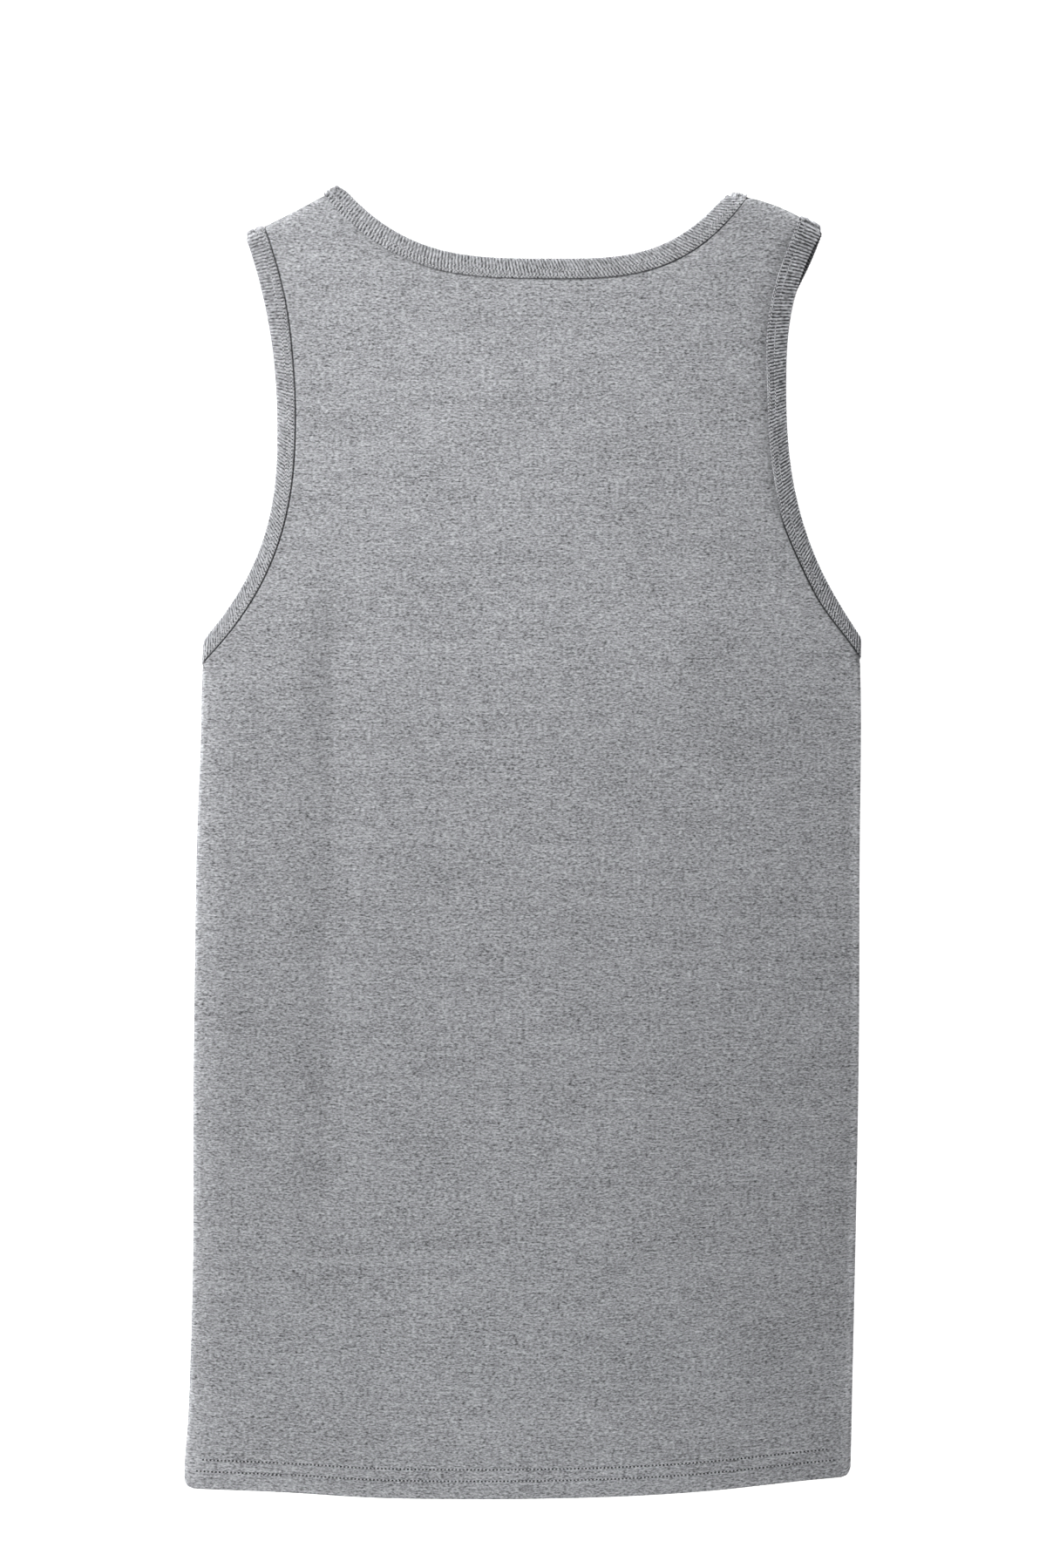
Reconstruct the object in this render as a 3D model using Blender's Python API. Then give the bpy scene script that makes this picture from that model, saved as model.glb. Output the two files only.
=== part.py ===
"""A sleeveless tank top lying flat on its front, back up, with both sides turned under.

X runs to the garment's right as it lies, Y from hem to neck, Z up, all in metres.
Every piece is drawn in the cut frame, where the sides are straight and the hem is level.
place() then lays it down: it leans and bows the garment a little, rests each layer on the
one below, and rolls the cloth round the side folds and over the shoulders.
"""

import math

import bmesh
import bpy
from mathutils import Vector

MM = 0.001

# Thickness of the cloth and of its layers
WALL = 1.0 * MM  # one layer of jersey
BOUND = 1.8 * MM  # a bound edge, or the doubled cloth of the hem
GAP = 0.3 * MM  # clearance between neighbouring pieces

# The body, in the cut frame
HEM_Y = -357.8 * MM
HEM_DEPTH = 18 * MM  # how far up the hem's cloth is doubled
HEM_EASE = 8 * MM  # over which the doubled cloth thins out to one layer
FLAT_HALF = 177.5 * MM  # from the middle to where a side fold begins to round over
ROLL = 6.1 * MM  # the back's cloth that goes round one side fold
FOLD_REACH = 2.6 * MM  # how far a side fold stands out past the flat part
FRONT_HALF = FLAT_HALF - 1 * MM
SEAM_X = 127 * MM  # the side seam, on the turned-under part
CORNER = 6 * MM  # rounding of the hem's corners
CORNER_CUT = 0.93  # how much of that rounding is used up at the hem's very edge

# How the turned-under sides lift the layers above them
DROP_FROM = 124 * MM
DROP_TO = 102 * MM
LIFT_ENDS = 112 * MM
LIFT_EASE = 42 * MM
BOUND_FROM = 30 * MM  # from here up, the layers lie as thick as the bound edges
BOUND_EASE = 60 * MM

# How the garment lies: lean, bow and taper of its middle line, and the curve of its hem
MIDDLE_X = 4.5 * MM
LEAN = 0.0133
BOW = 0.021  # per metre
WIDTH_AT_MIDDLE = 0.9994
TAPER = 0.0244  # per metre
HEM_CURVE = 0.273  # per metre
HEM_LOW_X = -31 * MM
HEM_CURVE_FADE = 300 * MM
BULGE = {-1: 2.8 * MM, 1: 0.3 * MM}  # how far each side bows outward below its armhole

BULGE_RISE = 1.4  # above one, the bulge is highest above the middle of the side

# The openings
ARM_BAND = 10 * MM
NECK_BAND = 11 * MM
NECK_MIDDLE = 12 * MM
BACK_NECK_Y = 320 * MM
BACK_NECK_POWER = 3.3
FRONT_NECK_Y = 247 * MM
FRONT_NECK_POWER = 2.2
BOW_FADE = 60 * MM  # how far down a strap its end's bow is felt

# Where each shoulder runs: its ends on the neck and on the armhole, and its outward bow
SHOULDERS = {
    -1: {"neck_x": -106.0, "neck_y": 359.0, "tip_x": -159.7, "tip_y": 331.5, "bow": -1.2},
    1: {"neck_x": 104.5, "neck_y": 355.0, "tip_x": 157.9, "tip_y": 334.5, "bow": 2.4},
}

# Where each armhole is narrowest, where it meets the side fold, and how it curves
ARMHOLES = {
    ("back", -1): {"narrow_x": 140.9, "narrow_y": 215.0, "under_y": 109.5, "above": 2.2, "below": 2.15},
    ("back", 1): {"narrow_x": 138.5, "narrow_y": 247.0, "under_y": 109.5, "above": 2.9, "below": 2.2},
    ("front", -1): {"narrow_x": 134.0, "narrow_y": 222.0, "under_y": 104.0, "above": 2.0, "below": 2.15},
    ("front", 1): {"narrow_x": 132.7, "narrow_y": 222.0, "under_y": 104.0, "above": 2.1, "below": 2.15},
}
UNDER_X = 180 * MM  # the side fold's outermost line

# The turned-under sides
TURNED_TOP_Y = 105 * MM
TURNED_SEAM_Y = 78 * MM
TURNED_OUTER_X = FLAT_HALF - GAP
TURNED_TOP_STEPS = 8

# The rim of a turned-under side, with a groove between its two layers: share of the height, inset
TURNED_RIM = [
    {"up": 0.0, "in": 0.6},
    {"up": 0.2, "in": 0.0},
    {"up": 0.42, "in": 0.0},
    {"up": 0.5, "in": 0.7},
    {"up": 0.58, "in": 0.0},
    {"up": 0.8, "in": 0.0},
    {"up": 1.0, "in": 0.6},
]

# A binding's cross-section
BAND_FOLD = 0.45 * MM  # rounding of its folded edges
BAND_NOSE = 0.45  # share of its thickness left at its outer edge
BAND_HEEL = 0.6  # and at its sewn edge

# The part of the cut that the shoulder folds' grid lines cross
STRAP_X = 90 * MM
STRAP_Y = 300 * MM

# Mesh divisions
CURVE_STEPS = 60
ROLL_STEPS = 5
SHOULDER_STEPS = 4
ARM_STATIONS = 26
NECK_STATIONS = 28
ENDS = 24 * MM  # how far an edge line runs on past its ends before it is trimmed

HEATHER = (0.32, 0.325, 0.345, 1.0)
RIB = (0.29, 0.295, 0.315, 1.0)


def ease(value):
    """0 below nought, 1 above one, and smooth between."""
    value = min(max(value, 0.0), 1.0)
    return value * value * (3.0 - 2.0 * value)


def wall(y):
    """The thickness of a panel's cloth."""
    return WALL + (BOUND - WALL) * ease((HEM_Y + HEM_DEPTH + HEM_EASE - y) / HEM_EASE)


def slot(y):
    """The height that one layer takes up."""
    return wall(y) + (BOUND - WALL) * ease((y - BOUND_FROM) / BOUND_EASE)


def lift(x, y):
    """How high the turned-under side holds up the front panel."""
    across = ease((abs(x) - DROP_TO) / (DROP_FROM - DROP_TO))
    along = 1.0 - ease((y - LIFT_ENDS) / LIFT_EASE)
    return (2.0 * slot(y) + 2.0 * GAP) * across * along


class Shoulder:
    """The line over which one strap is folded."""

    def __init__(self, side):
        row = SHOULDERS[side]
        self.neck = Vector((row["neck_x"], row["neck_y"])) * MM
        self.tip = Vector((row["tip_x"], row["tip_y"])) * MM
        self.length = (self.tip - self.neck).length
        self.along = (self.tip - self.neck) / self.length
        self.outward = Vector((-self.along.y, self.along.x)) * side
        self.bow = row["bow"] * MM

    def beyond(self, point):
        """How far a point lies outside the fold."""
        return (point - self.neck).dot(self.outward)

    def bowed(self, point):
        """How far the strap's end bows outward from a straight fold, at a point near it."""
        run = min(max((point - self.neck).dot(self.along) / self.length, 0.0), 1.0)
        return self.outward * (self.bow * math.sin(math.pi * run) * ease(1.0 + self.beyond(point) / BOW_FADE))

    def roll(self, point, beyond, out, layer):
        """A point whose cloth goes over the fold."""
        radius = (slot(point.y) + GAP) / 2.0
        turn = beyond / radius if layer == "back" else math.pi - beyond / radius
        flat = point - self.outward * (beyond - (radius + out) * math.sin(turn))
        height = slot(point.y) + GAP / 2.0 + (radius + out) * math.cos(turn)
        return laid(flat.x, flat.y, height)


FOLDS = {side: Shoulder(side) for side in SHOULDERS}


def laid(x, y, z):
    """A point of the cut frame as the garment lies."""
    point = Vector((x, y))
    for fold in FOLDS.values():
        point = point + fold.bowed(point)
    up = min(max((y - HEM_Y) / (LIFT_ENDS - HEM_Y), 0.0), 1.0)
    bulge = BULGE[1 if x > 0.0 else -1] * math.sin(math.pi * up ** BULGE_RISE)
    across = point.x * (WIDTH_AT_MIDDLE - TAPER * y + bulge / FLAT_HALF)
    middle = MIDDLE_X + LEAN * y - BOW * y * y
    fade = 1.0 - ease((y - HEM_Y) / HEM_CURVE_FADE)
    along = point.y + HEM_CURVE * (across + middle - HEM_LOW_X) ** 2 * fade
    return Vector((across + middle, along, z))


SHOULDER_ROLL = (BOUND + GAP) / 2.0 * math.pi  # the cloth that goes right over a shoulder
SEAM_PAST = SHOULDER_ROLL / 2.0 - GAP / 2.0  # each panel's share of it


def corner_squeeze(y):
    """How much of a side fold's roundness is left near the hem."""
    down = min(max(1.0 - (y - HEM_Y) / CORNER, 0.0), CORNER_CUT)
    return math.sqrt(1.0 - down * down)


def place(point, out, layer):
    """Lay down a point of the cut that stands out from the middle of its layer."""
    for fold in FOLDS.values():
        beyond = fold.beyond(point)
        if beyond > 0.0:
            return fold.roll(point, beyond, out, layer)
    x, y = point
    past = abs(x) - FLAT_HALF
    if past > 0.0:
        middle = 2.0 * slot(y) + 1.5 * GAP
        radius = middle - slot(y) / 2.0
        turn = math.pi * past / ROLL
        reach = FOLD_REACH - slot(y) / 2.0
        width = FLAT_HALF + (reach + out) * math.sin(turn) * corner_squeeze(y)
        return laid(math.copysign(width, x), y, middle + (radius + out) * math.cos(turn))
    if layer == "back":
        return laid(x, y, lift(x, y) + 1.5 * slot(y) + GAP + out)
    return laid(x, y, lift(x, y) + 0.5 * slot(y) - out)


def arm_edge(layer, side):
    """The edge of one armhole, from past the shoulder down to past the side fold."""
    row = ARMHOLES[layer, side]
    tip = FOLDS[side].tip
    narrow = Vector((row["narrow_x"], row["narrow_y"])) * MM
    under_y = row["under_y"] * MM
    points = []
    for step in range(2 * CURVE_STEPS + 1):
        y = tip.y + ENDS - (tip.y - under_y + 2.0 * ENDS) * step / (2.0 * CURVE_STEPS)
        if y > narrow.y:
            share = ((y - narrow.y) / (tip.y - narrow.y)) ** row["above"]
            reach = abs(tip.x) - narrow.x
        else:
            share = ((narrow.y - y) / (narrow.y - under_y)) ** row["below"]
            reach = UNDER_X - narrow.x
        points.append(Vector((side * (narrow.x + reach * share), y)))
    return points


def back_neck_edge():
    """The edge of the back's neck, from past the left shoulder to past the right one."""
    points = []
    for side in (-1, 1):
        neck = FOLDS[side].neck
        half = abs(neck.x - NECK_MIDDLE)
        steps = range(CURVE_STEPS, 0, -1) if side < 0 else range(CURVE_STEPS + 1)
        for step in steps:
            across = (half + ENDS / 2.0) * step / CURVE_STEPS
            rise = (neck.y - BACK_NECK_Y) * (across / half) ** BACK_NECK_POWER
            points.append(Vector((NECK_MIDDLE + side * across, BACK_NECK_Y + rise)))
    return points


def front_neck_edge():
    """The edge of the front's deeper neck, from past the left shoulder to past the right one."""
    points = []
    for side in (-1, 1):
        neck = FOLDS[side].neck
        half = abs(neck.x - NECK_MIDDLE)
        steps = range(CURVE_STEPS + 1) if side < 0 else range(CURVE_STEPS - 1, -1, -1)
        arc = []
        for step in steps:
            angle = math.pi / 2.0 * step / CURVE_STEPS
            across = half * max(math.cos(angle), 0.0) ** (2.0 / FRONT_NECK_POWER)
            drop = (neck.y - FRONT_NECK_Y) * math.sin(angle) ** (2.0 / FRONT_NECK_POWER)
            arc.append(Vector((NECK_MIDDLE + side * across, neck.y - drop)))
        above = neck + Vector((0.0, ENDS))
        points += [above] + arc if side < 0 else arc + [above]
    return points


def inset(points, distance):
    """The line moved to its right by a distance, as seen when walking along it."""
    moved = []
    for index, point in enumerate(points):
        before = points[max(index - 1, 0)]
        after = points[min(index + 1, len(points) - 1)]
        run = (after - before).normalized()
        moved.append(point + Vector((run.y, -run.x)) * distance)
    return moved


def trimmed(points, outside):
    """The stretch of a line where outside() is below nought, with exact ends."""
    kept = []
    for before, after in zip(points, points[1:]):
        here, there = outside(before), outside(after)
        if here <= 0.0:
            kept.append(before)
        if here * there < 0.0:
            kept.append(before.lerp(after, here / (here - there)))
    if outside(points[-1]) <= 0.0:
        kept.append(points[-1])
    return kept


def resampled(points, count):
    """The same line through a number of evenly spaced points."""
    runs = [0.0]
    for before, after in zip(points, points[1:]):
        runs.append(runs[-1] + (after - before).length)
    even, index = [], 0
    for step in range(count):
        want = runs[-1] * step / (count - 1)
        while index < len(runs) - 2 and runs[index + 1] < want:
            index += 1
        share = (want - runs[index]) / (runs[index + 1] - runs[index])
        even.append(points[index].lerp(points[index + 1], share))
    return even


def arm_line(layer, side, band, past_shoulder):
    """One armhole's line at a distance from its edge, from the shoulder down to the side.

    The back's goes on round the side fold, with a point on each of the fold's grid lines.
    """
    line = inset(arm_edge(layer, side), band * side)
    line = trimmed(line, lambda point: FOLDS[side].beyond(point) - past_shoulder)
    if layer == "front":
        return resampled(trimmed(line, lambda point: abs(point.x) - FRONT_HALF), ARM_STATIONS)
    flat = resampled(trimmed(line, lambda point: abs(point.x) - FLAT_HALF), ARM_STATIONS)
    for step in range(1, ROLL_STEPS + 1):
        limit = FLAT_HALF + ROLL * step / ROLL_STEPS
        flat.append(trimmed(line, lambda point, limit=limit: abs(point.x) - limit)[-1])
    return flat


def neck_line(layer, band, past_shoulder):
    """The neck's line at a distance from its edge, from the left shoulder to the right one."""
    edge = back_neck_edge() if layer == "back" else front_neck_edge()
    line = inset(edge, band)
    for fold in FOLDS.values():
        line = trimmed(line, lambda point, fold=fold: fold.beyond(point) - past_shoulder)
    return resampled(line, NECK_STATIONS)


def material(name, color, roughness):
    """A plain cloth material."""
    made = bpy.data.materials.new(name)
    made.use_nodes = True
    shader = made.node_tree.nodes["Principled BSDF"]
    shader.inputs["Base Color"].default_value = color
    shader.inputs["Roughness"].default_value = roughness
    made.diffuse_color = color
    return made


def finish(name, bm, cloth):
    """Turn a finished mesh into a named object."""
    bmesh.ops.recalc_face_normals(bm, faces=bm.faces)
    mesh = bpy.data.meshes.new(name)
    bm.to_mesh(mesh)
    bm.free()
    mesh.materials.append(cloth)
    mesh.shade_smooth()
    mesh.set_sharp_from_angle(angle=math.radians(50))
    made = bpy.data.objects.new(name, mesh)
    bpy.context.scene.collection.objects.link(made)
    return made


def columns():
    """The grid's lines up the garment: close together where the layers drop, and round the folds."""
    lines = [0.0, 45 * MM, 85 * MM, 140 * MM, 160 * MM, FLAT_HALF]
    lines += [DROP_TO + (DROP_FROM - DROP_TO) * step / 4.0 for step in range(5)]
    lines += [FLAT_HALF + ROLL * step / ROLL_STEPS for step in range(1, ROLL_STEPS)]
    return sorted({side * line for line in lines for side in (-1.0, 1.0)})


def rows():
    """The grid's lines across the garment: close together over the hem and under the arms."""
    hem_top = HEM_Y + HEM_DEPTH
    lines = [HEM_Y + CORNER * step / 3.0 for step in (1, 2, 3)]
    lines += [hem_top + HEM_EASE * step / 4.0 for step in range(5)]
    body = hem_top + HEM_EASE
    lines += [body + (BOUND_FROM - body) * step / 8.0 for step in range(1, 9)]
    lines += [BOUND_FROM + BOUND_EASE * step / 4.0 for step in range(1, 5)]
    lines += [LIFT_ENDS + LIFT_EASE * step / 5.0 for step in range(6)]
    lines += [190 * MM, 228 * MM, 266 * MM, 304 * MM]
    return lines


def cut_along(bm, where, across, faces=None):
    """Cut a flat mesh along a line, through a point and across a direction."""
    if faces is None:
        faces = bm.faces[:]
    parts = dict.fromkeys(part for face in faces for part in (face, *face.edges, *face.verts))
    bmesh.ops.bisect_plane(
        bm, geom=list(parts), dist=1e-6, plane_co=(*where, 0.0), plane_no=(*across, 0.0)
    )


def gridded(outline):
    """A flat mesh of the outline, cut along the grid and along the shoulder folds."""
    bm = bmesh.new()
    bm.faces.new([bm.verts.new((point.x, point.y, 0.0)) for point in outline])
    for x in columns():
        cut_along(bm, Vector((x, 0.0)), Vector((1.0, 0.0)))
    for y in rows():
        cut_along(bm, Vector((0.0, y)), Vector((0.0, 1.0)))
    for side, fold in FOLDS.items():
        for share in (0.0, 0.5):
            strap = [face for face in bm.faces if face.calc_center_median().x * side > STRAP_X]
            strap = [face for face in strap if face.calc_center_median().y > STRAP_Y]
            cut_along(bm, fold.neck + fold.outward * SEAM_PAST * share, fold.outward, strap)
    return bm


def cloth(name, outline, layer, paint):
    """A panel: the gridded outline given its thickness and laid down."""
    bm = gridded(outline)
    under = bm.verts[:]
    above = bmesh.ops.extrude_face_region(bm, geom=bm.faces[:])["geom"]
    above = [part for part in above if isinstance(part, bmesh.types.BMVert)]
    for verts, face_side in ((under, -0.5), (above, 0.5)):
        for vert in verts:
            vert.co = place(vert.co.xy, face_side * wall(vert.co.y), layer)
    return finish(name, bm, paint)


def back_outline():
    """The back panel inside its bindings, round to the underside of each side fold."""
    right = arm_line("back", 1, ARM_BAND + GAP, SEAM_PAST)
    left = arm_line("back", -1, ARM_BAND + GAP, SEAM_PAST)
    neck = neck_line("back", NECK_BAND + GAP, SEAM_PAST)
    hem = [Vector((-FLAT_HALF - ROLL, HEM_Y)), Vector((FLAT_HALF + ROLL, HEM_Y))]
    return hem + right[::-1] + neck[::-1] + left


def front_outline():
    """The front panel inside its bindings, up to the inside of each side fold."""
    right = arm_line("front", 1, ARM_BAND + GAP, SEAM_PAST)
    left = arm_line("front", -1, ARM_BAND + GAP, SEAM_PAST)
    neck = neck_line("front", NECK_BAND + GAP, SEAM_PAST)
    hem = [Vector((-FRONT_HALF, HEM_Y)), Vector((FRONT_HALF, HEM_Y))]
    return hem + right[::-1] + neck[::-1] + left


def turned_outline(side):
    """The turned-under part of one side: its armhole's end above, the side seam and the hem."""
    top = []
    for step in range(TURNED_TOP_STEPS + 1):
        angle = math.pi / 2.0 * step / TURNED_TOP_STEPS
        x = TURNED_OUTER_X + (SEAM_X - TURNED_OUTER_X) * math.sin(angle)
        y = TURNED_SEAM_Y + (TURNED_TOP_Y - TURNED_SEAM_Y) * math.cos(angle)
        top.append(Vector((side * x, y)))
    return top + [Vector((side * SEAM_X, HEM_Y)), Vector((side * TURNED_OUTER_X, HEM_Y))]


def turned_side(name, side, paint):
    """The hidden layers of one turned-under side, as one rounded slab grooved between its two layers."""
    bm = gridded(turned_outline(side))
    upper = bmesh.ops.extrude_face_region(bm, geom=bm.faces[:])["geom"]
    for part in upper:
        if isinstance(part, bmesh.types.BMVert):
            part.co.z = 1.0
    uprights = [edge for edge in bm.edges if abs(edge.verts[0].co.z - edge.verts[1].co.z) > 0.5]
    rim = {vert for edge in uprights for vert in edge.verts}
    last = len(TURNED_RIM) - 1
    bmesh.ops.subdivide_edges(bm, edges=uprights, cuts=last - 1)
    middle_x = (SEAM_X + TURNED_OUTER_X) / 2.0 * side
    for vert in bm.verts:
        level = TURNED_RIM[round(vert.co.z * last)]
        flat = vert.co.xy
        if vert in rim or 0.0 < vert.co.z < 1.0:
            flat.x += math.copysign(level["in"] * MM, middle_x - flat.x)
            if flat.y < HEM_Y + GAP:
                flat.y += level["in"] * MM
            elif flat.y > TURNED_SEAM_Y - GAP:
                flat.y -= level["in"] * MM
        vert.co = laid(flat.x, flat.y, level["up"] * (2.0 * slot(flat.y) + GAP))
    return finish(name, bm, paint)


def band_section(width):
    """A binding's cross-section: how far in from its edge each corner is, and how far out."""
    half = BOUND / 2.0
    upper = [
        (0.0, BAND_NOSE * half),
        (BAND_FOLD, half),
        (width - BAND_FOLD, half),
        (width, BAND_HEEL * half),
    ]
    return upper + [(along, -out) for along, out in reversed(upper)]


def over_shoulder(fold, outer, inner):
    """Stations that carry a binding over a shoulder fold, from the back's end to the front's."""
    stations = []
    for step in range(1, SHOULDER_STEPS):
        past = fold.outward * (SHOULDER_ROLL * step / SHOULDER_STEPS)
        stations.append((outer + past, inner + past, "back"))
    return stations


def binding(name, stations, width, closed, paint):
    """A binding: its section carried along stations, each a point on either edge and their layer."""
    bm = bmesh.new()
    rings = []
    for outer, inner, layer in stations:
        ring = []
        for along, out in band_section(width):
            point = outer.lerp(inner, along / width)
            ring.append(bm.verts.new(place(point, out, layer)))
        rings.append(ring)
    following = rings[1:] + rings[:1] if closed else rings[1:]
    for ring, after in zip(rings, following):
        for corner in range(len(ring)):
            turn = (corner + 1) % len(ring)
            bm.faces.new((ring[corner], ring[turn], after[turn], after[corner]))
    if not closed:
        bm.faces.new(rings[0][::-1])
        bm.faces.new(rings[-1])
    return finish(name, bm, paint)


def arm_binding(name, side, paint):
    """One armhole's binding, from under the side fold, up the back, over the shoulder and down the front."""
    back = list(zip(arm_line("back", side, 0.0, 0.0), arm_line("back", side, ARM_BAND, 0.0)))[::-1]
    front = list(zip(arm_line("front", side, 0.0, 0.0), arm_line("front", side, ARM_BAND, 0.0)))
    stations = [(outer, inner, "back") for outer, inner in back]
    stations += over_shoulder(FOLDS[side], *back[-1])
    stations += [(outer, inner, "front") for outer, inner in front]
    return binding(name, stations, ARM_BAND, False, paint)


def neck_binding(name, paint):
    """The neck's binding: across the back, over the right shoulder, round the front and back up."""
    back = list(zip(neck_line("back", 0.0, 0.0), neck_line("back", NECK_BAND, 0.0)))
    front = list(zip(neck_line("front", 0.0, 0.0), neck_line("front", NECK_BAND, 0.0)))[::-1]
    stations = [(outer, inner, "back") for outer, inner in back]
    stations += over_shoulder(FOLDS[1], *back[-1])
    stations += [(outer, inner, "front") for outer, inner in front]
    stations += over_shoulder(FOLDS[-1], *back[0])[::-1]
    return binding(name, stations, NECK_BAND, True, paint)


def stand_on_origin(pieces):
    """Move the garment so that the middle of its box is above the origin."""
    corners = [vert.co for piece in pieces for vert in piece.data.vertices]
    low = Vector([min(corner[axis] for corner in corners) for axis in range(3)])
    high = Vector([max(corner[axis] for corner in corners) for axis in range(3)])
    shift = Vector((-(low.x + high.x) / 2.0, -(low.y + high.y) / 2.0, -low.z))
    for piece in pieces:
        for vert in piece.data.vertices:
            vert.co += shift


def main():
    for old in list(bpy.data.objects):
        bpy.data.objects.remove(old)
    jersey = material("heather_jersey", HEATHER, 0.95)
    rib = material("heather_rib", RIB, 0.95)
    pieces = [
        cloth("back_panel", back_outline(), "back", jersey),
        cloth("front_panel", front_outline(), "front", jersey),
        turned_side("turned_side_left", -1, jersey),
        turned_side("turned_side_right", 1, jersey),
        neck_binding("neck_binding", rib),
        arm_binding("armhole_binding_left", -1, rib),
        arm_binding("armhole_binding_right", 1, rib),
    ]
    stand_on_origin(pieces)


main()
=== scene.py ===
"""The dressed tank top: heather jersey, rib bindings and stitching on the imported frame.

Every piece is drawn in the cut frame, where the sides are straight and the hem is level, and
place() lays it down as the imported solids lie. X runs to the garment's right, Y from hem to
neck, Z up, all in metres.
"""

from math import asin, copysign, cos, exp, pi, sin, sqrt

import bmesh
import bpy
from mathutils import Matrix, Vector, noise


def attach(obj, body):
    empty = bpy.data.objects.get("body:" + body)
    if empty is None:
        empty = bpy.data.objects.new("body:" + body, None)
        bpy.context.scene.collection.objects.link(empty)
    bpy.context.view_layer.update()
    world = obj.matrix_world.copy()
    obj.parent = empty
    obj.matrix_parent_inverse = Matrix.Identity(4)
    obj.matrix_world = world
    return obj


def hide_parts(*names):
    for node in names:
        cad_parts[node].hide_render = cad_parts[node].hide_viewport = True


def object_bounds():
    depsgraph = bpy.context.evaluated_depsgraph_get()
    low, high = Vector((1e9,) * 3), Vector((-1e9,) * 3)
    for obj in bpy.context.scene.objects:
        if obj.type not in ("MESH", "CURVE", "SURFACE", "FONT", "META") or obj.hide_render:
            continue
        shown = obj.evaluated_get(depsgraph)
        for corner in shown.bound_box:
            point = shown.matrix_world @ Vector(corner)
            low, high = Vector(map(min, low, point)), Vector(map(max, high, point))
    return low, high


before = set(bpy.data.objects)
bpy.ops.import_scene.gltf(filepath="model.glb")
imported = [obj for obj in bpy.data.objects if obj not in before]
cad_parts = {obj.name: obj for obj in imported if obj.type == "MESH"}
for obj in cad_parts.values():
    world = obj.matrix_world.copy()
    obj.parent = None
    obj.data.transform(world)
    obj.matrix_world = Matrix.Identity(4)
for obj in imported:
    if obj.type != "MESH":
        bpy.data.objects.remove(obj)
CAD_LOW, CAD_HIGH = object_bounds()

MM = 0.001


def mm(*values):
    """Values in mm as metres."""
    return tuple(value * MM for value in values)


# Thickness of the cloth and of its layers
WALL = 1 * MM
BOUND = 1.8 * MM
GAP = 0.3 * MM

# The body, in the cut frame
HEM_Y = -357.8 * MM
HEM_DEPTH = 18 * MM
HEM_EASE = 40 * MM
FLAT_HALF = 177.5 * MM
ROLL = 6.1 * MM
FOLD_REACH = 2.6 * MM
FRONT_HALF = FLAT_HALF - 1 * MM
SEAM_X = 129 * MM
CORNER = 5.5 * MM  # rounding of the hem's corners
CORNER_RISE = 14 * MM  # how far up the cloth follows that rounding

# How the turned-under sides lift the layers above them
LEFT_DROP = mm(134, 108.5)
RIGHT_DROP = mm(124, 102)
BRIDGE_TO = -60 * MM  # the back hangs on past the right drop, in a shallow slope as far as this
HEM_DROP = 60 * MM  # how much wider the left drop is at the hem
HEM_DROP_FADE = -190 * MM
LIFT_ENDS = 112 * MM
LIFT_EASE = {-1: 66 * MM, 1: 42 * MM}
BOUND_FROM = 30 * MM
BOUND_EASE = 60 * MM

SIDES = {-1: "left", 1: "right"}

# How the garment lies
MIDDLE_X = 4.5 * MM
LEAN = 0.0133
BOW = 0.021
WIDTH_AT_MIDDLE = 0.9994
TAPER = 0.0244
HEM_CURVE = 0.273
HEM_LOW_X = -31 * MM
HEM_CURVE_FADE = 300 * MM
BULGE = {-1: 2.8 * MM, 1: 0.3 * MM}
BULGE_RISE = 1.4
# Where a side's edge lies further out, or in below nought, in mm: side, y, half width, how far
PUSHES = [
    (-1, 92, 30, 1.3),
    (-1, 5, 55, 0.8),
    (-1, -230, 80, -1.3),
    (-1, -347, 18, 1.2),
    (1, -5, 75, -0.8),
    (1, 105, 20, -0.8),
]
# Where the hem's edge lies a little higher than its curve, in mm: x, half width, how far
HEM_RISES = [
    (-128, 42, 1.7),
    (158, 45, 1.5),
]
HEM_RISE_FADE = 90 * MM
SHIFT = Vector((-0.444, -1.392, 0)) * MM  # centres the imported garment's box above the origin

# The openings
ARM_BAND = 10.2 * MM
NECK_BAND = 10.9 * MM
BAND_LOSS = 0.17  # share of its width that an armhole's binding loses lower down
BAND_TAPER = {-1: mm(262, 160), 1: mm(186, 150)}  # between these heights
# What it gains besides, or loses below nought: side, share, and the heights it starts and is full at
BAND_GAINS = [
    (-1, 0.12, 255 * MM, 300 * MM),
    (1, 0.22, 225 * MM, 305 * MM),
    (1, 0.2, 318 * MM, 338 * MM),
    (1, -0.22, 140 * MM, 112 * MM),
]
NECK_MIDDLE = 12 * MM
BACK_NECK_Y = 320.6 * MM
BACK_NECK_POWER = {-1: 3.45, 1: 3.2}
FRONT_NECK_Y = 247 * MM
FRONT_NECK_POWER = 2.2
BOW_FADE = 60 * MM  # how far down a strap its end's bow is felt
# Each shoulder's end on the neck, its tip on the armhole, and its outward bow, in mm
SHOULDERS = {
    -1: ((-106, 359), (-159.7, 331.5), -0.6),
    1: ((104.5, 355), (157.9, 334.5), 3.2),
}
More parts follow.
